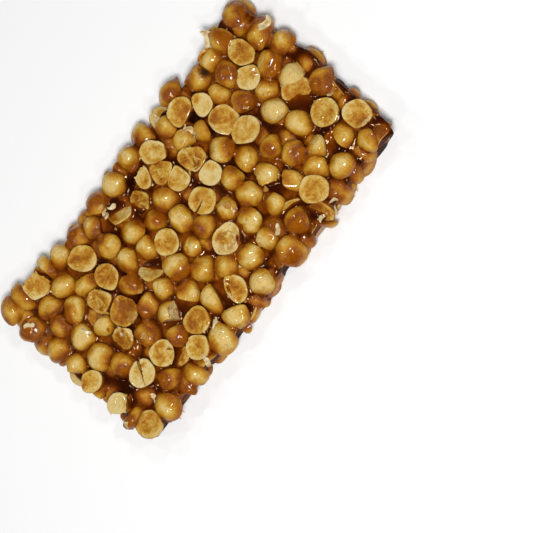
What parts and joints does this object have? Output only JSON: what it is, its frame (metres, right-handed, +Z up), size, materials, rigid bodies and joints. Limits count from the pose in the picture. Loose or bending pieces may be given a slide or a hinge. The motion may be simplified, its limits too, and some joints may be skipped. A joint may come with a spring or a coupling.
{
  "type": "nut brittle piece",
  "caption": "Flat oblong piece of brittle: roasted split gram set in hard dark caramel, broken off a pressed sheet, flat underneath and cobbled on top.",
  "frame": {"origin": "under the middle of the piece, on the flat tray side it rests on", "axes": "+X along the long side, +Y along the short side, +Z up through the thickness, towards the cobbled side that shows"},
  "size_m": [0.1006, 0.0541, 0.0098],
  "materials": {
    "caramel": "hard glossy dark red-brown jaggery caramel, amber where it is thin",
    "gram": "golden roasted split gram under a thin glaze of caramel"
  },
  "bodies": {
    "root": {"brittle": "caramel"}
  },
  "joints": []
}
